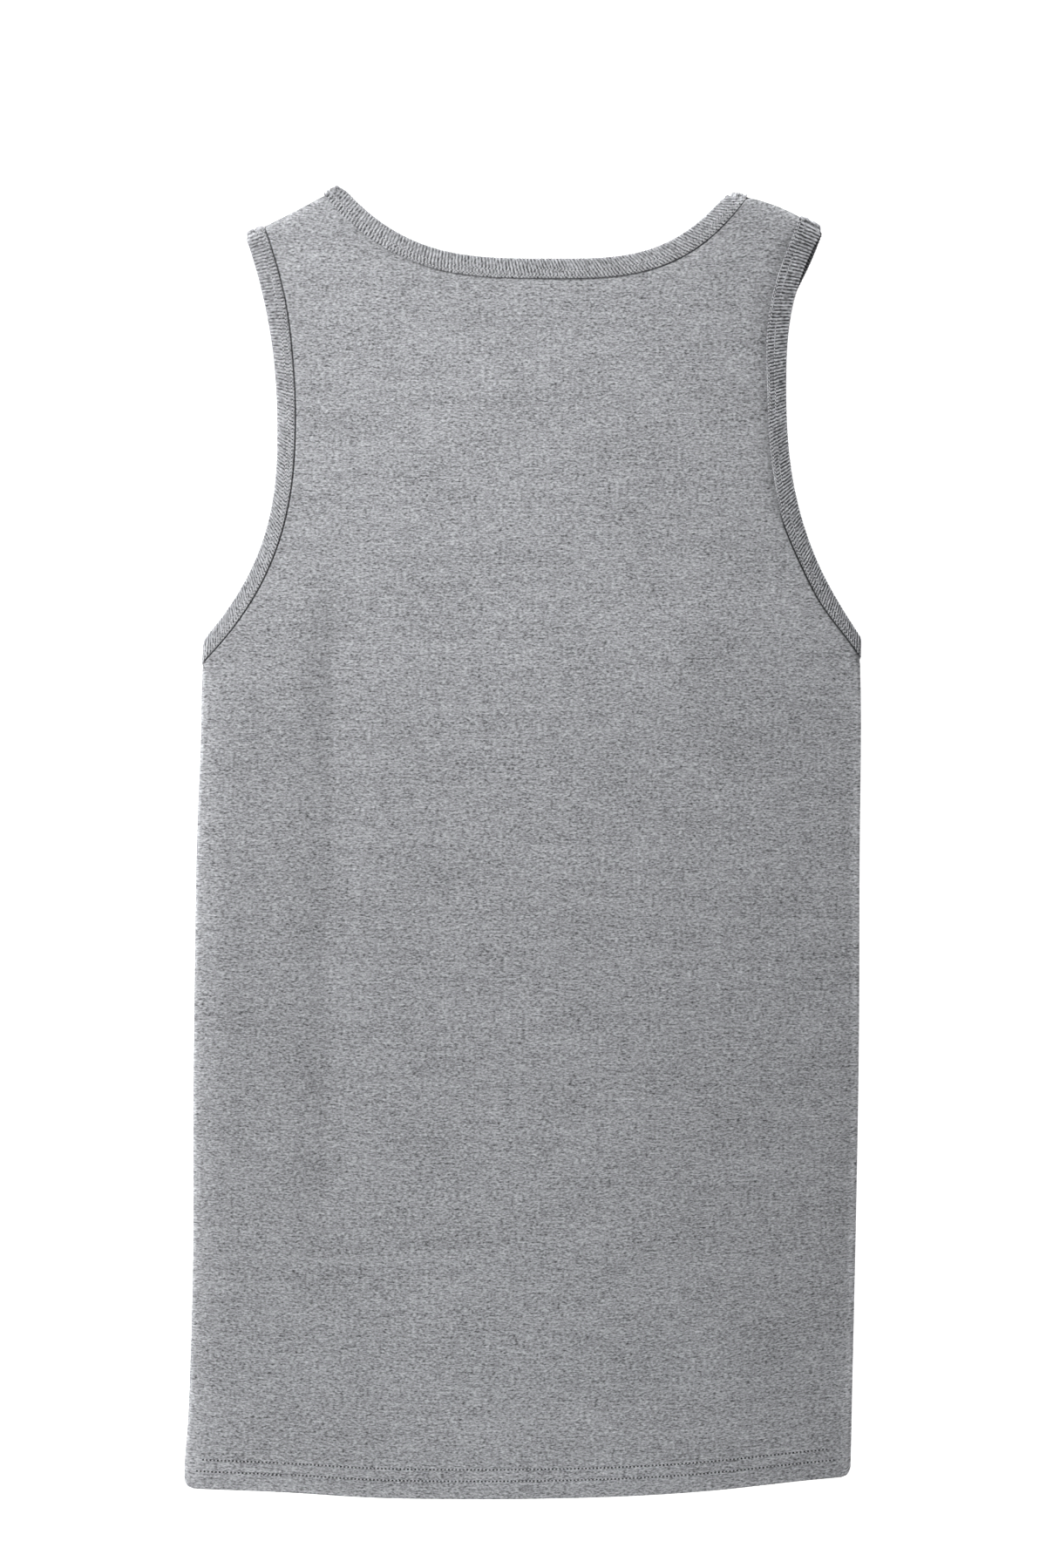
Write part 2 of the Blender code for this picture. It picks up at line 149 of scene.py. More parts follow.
# Each armhole's narrowest point and lower end's y, in mm, and its powers above and below
ARMHOLES = {
    ("back", -1): ((141.9, 222), 112, 2.2, 2.4),
    ("back", 1): ((138.1, 250), 113, 2.65, 2.45),
    ("front", -1): ((134, 222), 104, 2, 2.15),
    ("front", 1): ((132.7, 222), 104, 2.4, 2.15),
}
PEEP = 1.7 * MM  # how far the front's right armhole bulges out beside the back's, near the shoulder
PEEP_FROM = 303 * MM
PEEP_TO = 337 * MM
UNDER_X = 180 * MM
TURNED_TOP_Y = 105 * MM
TURNED_SEAM_Y = 78 * MM
TURNED_OUTER_X = FLAT_HALF - GAP
STRAP_X = 90 * MM
STRAP_Y = 300 * MM
CURVE_STEPS = 90
ENDS = 24 * MM

# Where the back's cloth settles into the front's neck scoop, which leaves nothing under it
NECK_SAG = 1.9 * MM
SAG_FROM = 0.97
SAG_EASE = 0.85

# Soft creases in the back, in mm
CREASES = [
    # from, to, half width, height
    ((-82, 185), (-76, -200), 17, 0.6),
    ((-160, 60), (-163, -300), 22, 0.8),
    ((-165, 70), (-166, -180), 11, 0.5),
    ((171, 60), (172, -320), 12, 0.6),
    ((-113, 205), (-109, 125), 6, 0.35),
    ((2, 190), (10, -150), 24, 0.7),
    ((36, -215), (48, -352), 15, 0.8),
    ((-36, -240), (-46, -356), 12, 0.5),
    ((-58, -60), (-34, -190), 11, 0.3),
    ((118, 60), (140, 0), 9, 0.35),
    ((92, 150), (70, 30), 10, 0.35),
    ((60, -60), (78, -200), 12, 0.4),
    ((-140, 92), (-108, 78), 7, 0.4),
    ((112, -230), (100, -340), 10, 0.35),
]
RUN_ON = 0.2  # share of its length that a crease runs on past each end
CREASE_BLUNT = 0.8  # the less, the blunter its ends
CREASE_FOOT = 2.6  # where a crease ends, in half widths from its crest
CREASE_WANDER = 0.6  # how far its crest wanders, in half widths
CREASE_BENDS = 3  # noise in its length
CREASE_SPREAD = 40  # sets the noise of one crease apart from the next one's
SWELL_FADE = 14 * MM  # the creases die out this close to a shoulder fold
SIDE_FADE = {-1: 12 * MM, 1: 5 * MM}  # and this close to a side fold
SWELL_NOISE = 0.35 * MM
SWELL_WAVES = [  # noise a metre in x and in y, where in the noise it is taken, and its share
    (14, 9, 3.1, 1),
    (33, 21, 7.7, 0.5),
]

# Where the back meets its bindings: open as a groove, or closed and dipping softly
TUCK = 0.4 * MM  # how far the cloth runs into a binding
GROOVE_DEPTH = 0.9 * MM
GROOVE_FLOOR = 0.8 * MM  # from the cloth's edge to where the groove starts to rise
GROOVE_EASE = 0.7 * MM
DIP_DEPTH = 0.32 * MM
DIP_EASE = 5 * MM
NECK_GROOVE_FROM_Y = 290 * MM
NECK_GROOVE_HALF = 121 * MM
NECK_GROOVE_X = mm(-88, -48)  # opens here to its least
NECK_GROOVE_LEAST = 0.66
NECK_GROOVE_FULL_X = mm(40, 110)  # and here to the full
ARM_GROOVE_Y = 190 * MM
ARM_GROOVE_EASE = 22 * MM

# Painted highlights along the side folds and in the doubled hem, painted shade in the seam grooves
FOLD_HIGHLIGHT = {-1: (0.55, 4.4 * MM), 1: (1.6, 2.4 * MM)}  # how much painted highlight at the fold, and how fast it fades
FOLD_HIGHLIGHT_MOST = 0.8
# Painted highlight on the straps' ends, toward the shoulder folds
SHOULDER_HIGHLIGHT = {-1: 0.04, 1: 0.16}
SHOULDER_HIGHLIGHT_REACH = 9 * MM
FOLD_HIGHLIGHT_TOP = mm(75, 105)
# Painted highlights in the doubled hem and along its edge
HEM_HIGHLIGHT = 0.07
HEM_HIGHLIGHT_EASE = 4 * MM
HEM_EDGE_HIGHLIGHT = 0.12
HEM_EDGE_HIGHLIGHT_EASE = 3 * MM
# Painted shade in the seam grooves
SEAM_SHADE = 0.85
LEFT_SEAM_EASE = 0.3  # how much less painted seam shade the left armhole has near the shoulder
LEFT_SEAM_Y = mm(200, 270)
SEAM_WIDTH = {-1: 0.7 * MM, 1: 1 * MM}
SEAM_EASE = 0.6 * MM
ARM_SHADE = {-1: 0, 1: 0.36}  # how much painted shade darkens the cloth beside an armhole's binding
ARM_SHADE_REACH = 3.2 * MM
# Painted highlight along the rim of each shoulder fold
SHOULDER_RIM_HIGHLIGHT = 0.3
SHOULDER_RIM_HIGHLIGHT_REACH = 2.4 * MM
FRONT_BAND_SHADE = 0.5  # how much painted shade darkens the front's armhole binding, inside the garment under the back

# Painted highlights on the rims and shoulder ends of the bindings, and painted shade on the top of the
# left one
BAND_HIGHLIGHT = {  # at the rim, at the shoulder fold, how fast that fades, and how much more past the fold
    ("neck", -1): (0.32, 0, 2 * MM, 0),
    ("neck", 1): (0.34, 0.7, 5.5 * MM, 0),
    ("arm", -1): (0.12, 0.45, 2 * MM, 0),
    ("arm", 1): (0.6, 0.45, 3 * MM, 1.3),
}
RIM_WIDE = 0.6 * MM
TURN_EASE = 1.2 * MM
STRAP_SHADE = 0.18
STRAP_SHADE_Y = mm(195, 330)

# Rounding of the bindings' corners on the shoulders, in mm
CORNERS = {("neck", -1): 3, ("neck", 1): 4.4, ("arm", -1): 1.6, ("arm", 1): 1.8}
FRONT_CORNER = 0.8
PROUD = 0.7 * MM  # how much further out the thick bindings go over a shoulder than the cloth

# Mesh divisions
DECIMALS = 7  # a sheet's points that agree so far lie one above the other
EDGE_ROWS = {  # rows close to the hem's edge, in mm above it
    "back": (0, 0.08, 0.3, 0.7, 1.2, 2, 3.4, 5.2),
    "front": (0.3, 0.9, 2, 6),
    "turned": (0, 0.1, 0.4, 0.9, 2, 5),
}
BODY_COLUMN = 2.6 * MM
BODY_ROW = 3.4 * MM
FOLD_COLUMNS = 9
SIDE_TOP_Y = 85 * MM  # up to here the back's rows lie level
SIDE_ROW = 0.25
ARM_ROWS = 84
ARM_ROWS_TO = 0.975  # share of the armholes' height past which the rows close up
TOP_ROWS = (ARM_ROWS_TO, 0.983, 0.989, 0.992, 0.9945, 0.9965, 0.998, 1)
TOP_POWER = 1.6  # the higher, the later the rows bend to the neck's curve
EDGE_LEAST = 0.02  # keeps a rounded edge from closing to a line
TURNED_COLUMN = 0.08
TURNED_ROW = 0.022
SEAM_TURNS = 6
# The front's grid lines: from, to and step
FRONT_COLUMNS = [
    mm(9, 102, 9),
    mm(102, 135, 3),
    (140 * MM, FLAT_HALF - 5 * MM, 9 * MM),
]
FRONT_ROWS = [
    (HEM_Y + HEM_DEPTH, HEM_Y + HEM_DEPTH + HEM_EASE, 2 * MM),
    (HEM_Y + HEM_DEPTH + HEM_EASE, BOUND_FROM, 12 * MM),
    (BOUND_FROM, 340 * MM, 8 * MM),
]
STRAP_CUTS = (0, 0.3, 0.6)  # shares of the way over the fold at which the front's straps are cut
ARM_POINTS = 60  # along the front's outline
NECK_POINTS = 90
WALE = 1.8 * MM  # one rib of the bindings
WALE_STEPS = 4
WALE_DEPTH = 0.3 * MM
WALE_SHARE = 0.75  # a rib's mean share of that depth
WALE_SPREAD = 0.5  # and how far that varies
WALE_NOISE = (0.37, 900, 1.7)  # noise from rib to rib and in a metre of width, and its depth
NOSE = 0.1 * MM  # nearer than this to a binding's edge, its ribs stand outward
ARM_SLANT = 55  # ribs passed by, in a metre across the binding
NECK_SLANT = -170
SHOULDER_WALES = 2

# Stitching
STITCH = 2 * MM
PER_STITCH = 4  # points to a stitch
HEM_ROWS = [  # height above the hem, and the x that a row runs from and to
    mm(9.8, -173, -128),
    mm(9.3, -137, -128),
    mm(9.9, -122, 170.5),
    mm(16.2, -170, 166.5),
]
BAND_ROWS = mm(1.4, 4.5)  # in from a binding's sewn edge
EDGE_LOOPS = 0.45 * MM  # the loops that show along the right armhole's sewn edge
UNDER_OUT = 0.74 * MM  # the stitches on the underside lie this far out from the middle of the cloth
BAND_OUT = {"back": 0.82 * MM, "front": UNDER_OUT}
BAND_THREAD = mm(1.4, 0.62, 0.5)
BAND_HOLE_SHADE = mm(0.85, 0.9, 0.34)
LOOSE_ENDS = [  # threads that hang free: how high they lie, and their points, in mm of the cut
    (1.1, ((-129.5, -342), (-127, -341.6), (-125.4, -340))),
    (0.4, ((-157.2, 329.6), (-160.6, 331), (-161.6, 332.6))),
    (0.2, ((-158.6, 328.2), (-160.9, 328.4))),
]
LOOSE_BEAD = mm(0.9, 0.3, 0.3)
LOOSE_STEP = 0.45 * MM
HEM_THREAD = mm(1.15, 0.5, 0.42)
HEM_HOLE_SHADE = mm(1.15, 1.1, 0.36)
FRONT_HEM_SHARE = 0.97  # how long the front's rows are beside the back's
LEAST_POINTS = 8  # a shorter stretch of a binding takes no stitches
BATCH = 30  # beads that are made together

# Cloth: each noise's grain in mm, stretch, detail, turn, and its weight
NOISES = [
    (0.7, 5, 2, 0, 1.2),  # streaks
    (0.5, 2, 1, 0, 2.1),  # grains
    (0.33, 2.2, 1, 0.3, 1.7),  # fibres
    (2.4, 2.2, 2, 0, 0.3),  # blots
    (14, 1.4, 2, 0, 0.3),  # clouds
    (4, 9, 2, 0, 0.36),  # bands
]
# Single dark and pale yarns: grain in mm, stretch, turn, the noise above which they show, weight
FLECKS = [
    (0.5, 6, 0.08, 0.7, -0.13),
    (0.55, 3.5, -0.06, 0.71, 0.16),
]
LEAST_SHADE = 0.2
CLOTH_FINISH = {
    "Roughness": 0.92,
    "Specular IOR Level": 0.2,
    "Sheen Weight": 0.18,
    "Sheen Roughness": 0.45,
}
# Each cloth's colour, how strongly it is mottled, its ribs' slant, and how strongly painted shade
# darkens the furrows between them. The left armhole's rib is painted lighter and the right one's
# darker, for how the light falls on them.
CLOTHS = {
    "heather_jersey": ((0.284, 0.288, 0.301), 1.05),
    "heather_neck_rib": ((0.27, 0.274, 0.286), 1.1, NECK_SLANT, 0.42),
    "heather_left_rib_painted_light": ((0.3, 0.304, 0.318), 1.1, ARM_SLANT, 0.35),
    "heather_right_rib_painted_shade": ((0.2, 0.203, 0.213), 1.5, ARM_SLANT, 0.8),
}
RIB_BREAKS = (0.7, 1.6, 0.2)  # how broken the ribs' painted furrow shade is: grain in mm, strength, least
# Finish, grain in mm, and two greys with their places in the noise
THREAD_LOOKS = (
    {"Roughness": 0.7, "Sheen Weight": 0.1},
    0.25,
    ((0.3, (0.3, 0.305, 0.32)), (0.7, (0.6, 0.605, 0.62))),
)
# The needle holes' near-black greys are painted shade
HOLE_SHADE_LOOKS = (
    {"Roughness": 1, "Specular IOR Level": 0},
    1.1,
    ((0.35, (0.03, 0.03, 0.033)), (0.65, (0.11, 0.11, 0.115))),
)

# The studio: place, aim, size, watts and spread of each light
LIGHTS = {
    "key": ((-1.15, 0.6, 1.1), (0, 0, 0), 0.9, 34, pi),
    "low_right": ((1.25, 0.45, 0.3), (0.1, 0.25, 0), 0.6, 3.2, pi),
    "upper_glow": ((-0.25, 0.45, 1), (-0.04, 0.29, 0), 0.4, 0.54, 0.9),
    "lower_glow": ((-0.4, -0.75, 0.9), (-0.05, -0.36, 0), 0.4, 0.36, 0.7),
}
FLOOR_HALF = 9
WHITE = (1, 1, 1, 1)
FLOOR_FINISH = {
    "Base Color": (0.35, 0.35, 0.35, 1),
    "Roughness": 0.9,
    "Specular IOR Level": 0.1,
    "Emission Color": WHITE,
    "Emission Strength": 1.05,
}
WORLD_GLOW = 0.01
CAMERA_AT = (-0.0007, 0.0317, 2.384)
CAMERA_LENS = 100  # mm, on a sensor 36 mm wide


def share_of(value):
    """The value, held between nought and one."""
    return min(max(value, 0), 1)


def ease(value):
    """0 below nought, 1 above one, and smooth between."""
    value = share_of(value)
    return value * value * (3 - 2 * value)


def ramp(value, start, end):
    """0 at the start, 1 at the end, and smooth between."""
    return ease((value - start) / (end - start))


def side_of(x):
    """-1 on the left, 1 on the right."""
    return 1 if x > 0 else -1


def wall(y):
    """The thickness of a panel's cloth."""
    return WALL + (BOUND - WALL) * ease((HEM_Y + HEM_DEPTH + HEM_EASE - y) / HEM_EASE)


def slot(y):
    """The height that one layer takes up."""
    return wall(y) + (BOUND - WALL) * ease((y - BOUND_FROM) / BOUND_EASE)


def lift(x, y, layer):
    """How high the turned-under sides hold up a layer."""
    start, end = LEFT_DROP
    end -= HEM_DROP * ramp(y, HEM_DROP_FADE, HEM_Y)
    left = sin(pi / 2 * share_of((-x - end) / (start - end)))
    start, end = RIGHT_DROP
    if layer == "back":
        end = BRIDGE_TO
    right = ramp(x, end, start)
    left *= 1 - ease((y - LIFT_ENDS) / LIFT_EASE[-1])
    right *= 1 - ease((y - LIFT_ENDS) / LIFT_EASE[1])
    return (2 * slot(y) + 2 * GAP) * max(left, right)


class Shoulder:
    """The line over which one strap is folded."""

    def __init__(self, side):
        neck, tip, bow = SHOULDERS[side]
        self.neck = Vector(neck) * MM
        self.tip = Vector(tip) * MM
        self.length = (self.tip - self.neck).length
        self.along = (self.tip - self.neck) / self.length
        self.outward = Vector((-self.along.y, self.along.x)) * side
        self.bow = bow * MM

    def beyond(self, point):
        """How far a point lies outside the fold."""
        return (point - self.neck).dot(self.outward)

    def share(self, point):
        """How far along the fold a point lies: 0 at the neck, 1 at the armhole."""
        return (point - self.neck).dot(self.along) / self.length

    def bowed(self, point):
        """How far the strap's end bows outward from a straight fold, at a point near it."""
        run = share_of(self.share(point))
        near = ease(1 + self.beyond(point) / BOW_FADE)
        return self.outward * (self.bow * sin(pi * run) * near)

    def roll(self, point, beyond, out, layer):
        """A point whose cloth goes over the fold."""
        radius = (slot(point.y) + GAP) / 2
        turn = beyond / radius if layer == "back" else pi - beyond / radius
        proud = PROUD * max(out - WALL / 2, 0) / (BOUND / 2 - WALL / 2)
        flat = point - self.outward * (beyond - (radius + out + proud) * sin(turn))
        height = slot(point.y) + GAP / 2 + (radius + out) * cos(turn)
        return laid(flat.x, flat.y, height)


FOLDS = {side: Shoulder(side) for side in SHOULDERS}


def corner_lift(x, y):
    """How far the hem's edge rises where its corner is rounded."""
    inward = CORNER - (FLAT_HALF + FOLD_REACH - abs(x))
    if inward <= 0 or y > HEM_Y + CORNER_RISE:
        return 0
    rise = CORNER - sqrt(max(CORNER ** 2 - min(inward, CORNER) ** 2, 0))
    return rise * (1 - (y - HEM_Y) / CORNER_RISE)


def bell(value, middle, half):
    """1 at the middle, and fading out to both sides of it. The last two are in mm."""
    return exp(-(((value / MM - middle) / half) ** 2))


def laid(x, y, z):
    """A point of the cut frame as the garment lies."""
    y += corner_lift(x, y)
    point = Vector((x, y))
    for fold in FOLDS.values():
        point = point + fold.bowed(point)
    up = share_of((y - HEM_Y) / (LIFT_ENDS - HEM_Y))
    bulge = BULGE[side_of(x)] * sin(pi * up ** BULGE_RISE)
    for side, at, half, out in PUSHES:
        if side * x > 0:
            bulge += out * MM * bell(y, at, half)
    across = point.x * (WIDTH_AT_MIDDLE - TAPER * y + bulge / FLAT_HALF)
    middle = MIDDLE_X + LEAN * y - BOW * y * y
    fade = 1 - ease((y - HEM_Y) / HEM_CURVE_FADE)
    along = point.y + HEM_CURVE * (across + middle - HEM_LOW_X) ** 2 * fade
    fade = 1 - ease((y - HEM_Y) / HEM_RISE_FADE)
    if fade > 0:
        for at, half, rise in HEM_RISES:
            along += rise * MM * fade * bell(across, at, half)
    return Vector((across + middle, along, max(z, 0))) + SHIFT


SHOULDER_ROLL = (BOUND + GAP) / 2 * pi
SEAM_PAST = SHOULDER_ROLL / 2 - GAP / 2


class Crease:
    """One soft ridge in the cloth, highest along the middle of its crest."""

    def __init__(self, start, end, wide, high):
        self.start = Vector(start) * MM
        self.run = Vector(end) * MM - self.start
        self.wide = wide * MM
        self.high = high * MM

    def height(self, point):
        """The ridge's height at a point of the cut."""
        share = (point - self.start).dot(self.run) / self.run.length_squared
        if not -RUN_ON < share < 1 + RUN_ON:
            return 0
        foot = self.start + self.run * share_of(share)
        away = (point - foot).length / self.wide
        if away > CREASE_FOOT:
            return 0
        wave = noise.noise(Vector((share * CREASE_BENDS, *(self.start * CREASE_SPREAD))))
        wander = Vector((wave * CREASE_WANDER * self.wide, 0))
        away = (point + wander - foot).length / self.wide
        body = sin(pi * (share + RUN_ON) / (1 + 2 * RUN_ON)) ** CREASE_BLUNT
        return self.high * exp(-away * away) * body


RIDGES = [Crease(*row) for row in CREASES]


def swell(x, y):
    """How far the back stands up from its flat lie: its creases, and its sag at the neck."""
    point = Vector((x, y))
    fade = ease((FLAT_HALF - abs(x)) / SIDE_FADE[side_of(x)])
    for fold in FOLDS.values():
        fade *= ease(-fold.beyond(point) / SWELL_FADE)
    height = SWELL_NOISE
    for along, up, depth, share in SWELL_WAVES:
        height += SWELL_NOISE * share * noise.noise(Vector((x * along, y * up, depth)))
    height += sum(ridge.height(point) for ridge in RIDGES)
    neck = FOLDS[side_of(x - NECK_MIDDLE)].neck
    across = abs(x - NECK_MIDDLE) / abs(neck.x - NECK_MIDDLE)
    down = max(neck.y - y, 0) / (neck.y - FRONT_NECK_Y)
    scoop = across ** FRONT_NECK_POWER + down ** FRONT_NECK_POWER
    return (height - NECK_SAG * ease((SAG_FROM - scoop) / SAG_EASE)) * fade


def place(point, out, layer):
    """Lay down a point of the cut that stands out from the middle of its layer."""
    for fold in FOLDS.values():
        beyond = fold.beyond(point)
        if beyond > 0:
            return fold.roll(point, beyond, out, layer)
    x, y = point
    past = abs(x) - FLAT_HALF
    if past > 0:
        middle = 2 * slot(y) + 1.5 * GAP
        radius = middle - slot(y) / 2
        turn = pi * past / ROLL
        reach = FOLD_REACH - slot(y) / 2
        width = FLAT_HALF + (reach + out) * sin(turn)
        return laid(copysign(width, x), y, middle + (radius + out) * cos(turn))
    if layer == "back":
        return laid(x, y, lift(x, y, layer) + 1.5 * slot(y) + GAP + out + swell(x, y))
    return laid(x, y, lift(x, y, layer) + 0.5 * slot(y) - out)


def arm_edge(layer, side):
    """The edge of one armhole, from past the shoulder down to past the side fold."""
    narrow, under_y, power_above, power_below = ARMHOLES[layer, side]
    tip = FOLDS[side].tip
    narrow = Vector(narrow) * MM
    under_y *= MM
    peeps = (layer, side) == ("front", 1)
    points = []
    for step in range(2 * CURVE_STEPS + 1):
        y = tip.y + ENDS - (tip.y - under_y + 2 * ENDS) * step / (2 * CURVE_STEPS)
        if y > narrow.y:
            share = ((y - narrow.y) / (tip.y - narrow.y)) ** power_above
            reach = abs(tip.x) - narrow.x
        else:
            share = ((narrow.y - y) / (narrow.y - under_y)) ** power_below
            reach = UNDER_X - narrow.x
        bulge = 0
        if peeps and PEEP_FROM < y < PEEP_TO:
            bulge = PEEP * sin(pi * (y - PEEP_FROM) / (PEEP_TO - PEEP_FROM))
        points.append(Vector((side * (narrow.x + reach * share + bulge), y)))
    return points


def neck_edge(layer):
    """The edge of one panel's neck, from past the left shoulder to past the right one."""
    halves = {}
    for side, fold in FOLDS.items():
        half = abs(fold.neck.x - NECK_MIDDLE)
        line = []
        for step in range(CURVE_STEPS + 1):
            if layer == "back":
                across = (half + ENDS / 2) * step / CURVE_STEPS
                y = BACK_NECK_Y + (fold.neck.y - BACK_NECK_Y) * (across / half) ** BACK_NECK_POWER[side]
            else:
                angle = pi / 2 * (CURVE_STEPS - step) / CURVE_STEPS
                across = half * max(cos(angle), 0) ** (2 / FRONT_NECK_POWER)
                drop = sin(angle) ** (2 / FRONT_NECK_POWER)
                y = fold.neck.y - (fold.neck.y - FRONT_NECK_Y) * drop
            line.append(Vector((NECK_MIDDLE + side * across, y)))
        if layer == "front":
            line.append(fold.neck + Vector((0, ENDS)))
        halves[side] = line
    return halves[-1][:0:-1] + halves[1]


def inset(points, distance_at):
    """The line moved to the right of its run, by what distance_at() gives."""
    moved = []
    for index, point in enumerate(points):
        before = points[max(index - 1, 0)]
        after = points[min(index + 1, len(points) - 1)]
        run = (after - before).normalized()
        moved.append(point + Vector((run.y, -run.x)) * distance_at(point))
    return moved


def trimmed(points, outside):
    """The stretch of a line where outside() is below nought, with exact ends."""
    kept = []
    for before, after in zip(points, points[1:]):
        here, there = outside(before), outside(after)
        if here <= 0:
            kept.append(before)
        if here * there < 0:
            kept.append(before.lerp(after, here / (here - there)))
    if outside(points[-1]) <= 0:
        kept.append(points[-1])
    return kept


def length_of(points):
    """How long a line is."""
    return sum((after - before).length for before, after in zip(points, points[1:]))


def resampled(points, count):
    """The same line through a number of evenly spaced points."""
    runs = [0]
    for before, after in zip(points, points[1:]):
        runs.append(runs[-1] + (after - before).length)
    even, index = [], 0
    for step in range(count):
        want = runs[-1] * step / (count - 1)
        while index < len(runs) - 2 and runs[index + 1] <= want:
            index += 1
        share = (want - runs[index]) / max(runs[index + 1] - runs[index], 1e-9)
        even.append(points[index].lerp(points[index + 1], share))
    return even


def arm_line(layer, side, band, past_shoulder):
    """An armhole's line at a distance from its edge, from the shoulder to under the side fold."""

    def distance_at(point):
        share = 1 - BAND_LOSS * ramp(point.y, *BAND_TAPER[side])
        for gain_side, gain, start, end in BAND_GAINS:
            if gain_side == side:
                share += gain * ramp(point.y, start, end)
        return band * side * share

    line = inset(arm_edge(layer, side), distance_at)
    line = trimmed(line, lambda point: FOLDS[side].beyond(point) - past_shoulder)
    limit = FRONT_HALF if layer == "front" else FLAT_HALF + ROLL
    return trimmed(line, lambda point: abs(point.x) - limit)


def neck_line(layer, band, past_shoulder):
    """The neck's line at a distance from its edge, from the left shoulder to the right one."""
    line = inset(neck_edge(layer), lambda point: band)
    for fold in FOLDS.values():
        line = trimmed(line, lambda point, fold=fold: fold.beyond(point) - past_shoulder)
    return line


def crossing(points, axis, value):
    """Where a line that runs steadily along an axis reaches a value of it."""
    low, high = 0, len(points) - 1
    rising = points[-1][axis] > points[0][axis]
    while high - low > 1:
        middle = (low + high) // 2
        if (points[middle][axis] < value) == rising:
            low = middle
        else:
            high = middle
    before, after = points[low], points[high]
    share = (value - before[axis]) / (after[axis] - before[axis])
    return before.lerp(after, share_of(share))


def spaced(start, end, step):
    """Values from one to another about a step apart, without the last."""
    count = max(round((end - start) / step), 1)
    return [start + (end - start) * index / count for index in range(count)]


def linked(name, data):
    """A new object in the scene."""
    made = bpy.data.objects.new(name, data)
    bpy.context.scene.collection.objects.link(made)
    return made


def finish(name, bm, cloth, cad_node=None):
    """Turn a finished mesh into a named piece that rides on the frame."""
    bmesh.ops.recalc_face_normals(bm, faces=bm.faces)
    mesh = bpy.data.meshes.new(name)
    bm.to_mesh(mesh)
    bm.free()
    mesh.materials.append(cloth)
    mesh.shade_smooth()
    made = linked(name, mesh)
    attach(made, "root")
    if cad_node:
        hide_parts(cad_node)
    return made


def write_cut(bm, cut_of):
    """Keep each point's place in the cut as a UV map, in metres."""
    layer = bm.loops.layers.uv.new("cut")
    for face in bm.faces:
        for loop in face.loops:
            loop[layer].uv = cut_of[loop.vert]


def grid_of(across, up):
    """A flat grid as fine as two lists, and each of its points with its entry in both."""
    bm = bmesh.new()
    wide, high = len(across) - 1, len(up) - 1
    made = bmesh.ops.create_grid(bm, x_segments=wide, y_segments=high, size=1)
    spots = []
    for vert in made["verts"]:
        column = across[round((vert.co.x + 1) / 2 * wide)]
        row = up[round((vert.co.y + 1) / 2 * high)]
        spots.append((vert, column, row))
    return bm, spots


def doubled(bm):
    """Give a flat sheet a second face. Each point comes with the one under it, and its face's side."""
    under = bm.verts[:]
    nearest = {vert.co.to_tuple(DECIMALS): vert for vert in under}
    above = bmesh.ops.extrude_face_region(bm, geom=bm.faces[:])["geom"]
    above = [part for part in above if isinstance(part, bmesh.types.BMVert)]
    sheet = [(vert, vert, -0.5) for vert in under]
    return sheet + [(vert, nearest[vert.co.to_tuple(DECIMALS)], 0.5) for vert in above]


def face_out(y, face_side):
    """How far a face of the cloth is from its middle, rounded toward the hem's edge."""
    edge = share_of((y - HEM_Y) / (wall(y) / 2))
    return face_side * wall(y) * sqrt(max(1 - (1 - edge) ** 2, EDGE_LEAST))


def back_rows():
    """Each row of the back: a height above the hem, or a share of the side or of the armhole."""
    rows = [("hem", value * MM) for value in EDGE_ROWS["back"]]
    rows += [("hem", value) for value in spaced(7 * MM, HEM_DEPTH + HEM_EASE, 1.9 * MM)]
    rows += [("hem", value) for value in spaced(HEM_DEPTH + HEM_EASE, SIDE_TOP_Y - HEM_Y, BODY_ROW)]
    rows += [("side", value) for value in spaced(0, 1, SIDE_ROW)]
    rows += [("arm", value) for value in spaced(0, ARM_ROWS_TO, ARM_ROWS_TO / ARM_ROWS)]
    rows += [("arm", value) for value in TOP_ROWS]
    return rows


def row_end(kind, value, arm, x):
    """Where a row of the back ends at one side, given that side's armhole and outer line."""
    start = arm[0]
    if kind == "hem":
        return Vector((x, HEM_Y + value))
    if kind == "side":
        return Vector((x, SIDE_TOP_Y + (start.y - SIDE_TOP_Y) * value))
    return crossing(arm, 1, start.y + (arm[-1].y - start.y) * value)


def by_neck(x, y):
    """Whether a point near the back's sewn edge is by the neck, not by an armhole."""
    return y > NECK_GROOVE_FROM_Y and abs(x) < NECK_GROOVE_HALF


def open_seam(x, y):
    """1 where the back's seam with a binding is an open groove, and 0 where it is closed."""
    if by_neck(x, y):
        least = NECK_GROOVE_LEAST * ramp(x, *NECK_GROOVE_X)
        return least + (1 - NECK_GROOVE_LEAST) * ramp(x, *NECK_GROOVE_FULL_X)
    return 1 if x < 0 else ease((ARM_GROOVE_Y - y) / ARM_GROOVE_EASE)


def fold_painted_light(point):
    """How much a painted highlight pales a point of the cut near a side fold."""
    most, reach = FOLD_HIGHLIGHT[side_of(point.x)]
    from_fold = abs(abs(point.x) - FLAT_HALF - ROLL / 2)
    return min(most * exp(-from_fold / reach), FOLD_HIGHLIGHT_MOST)


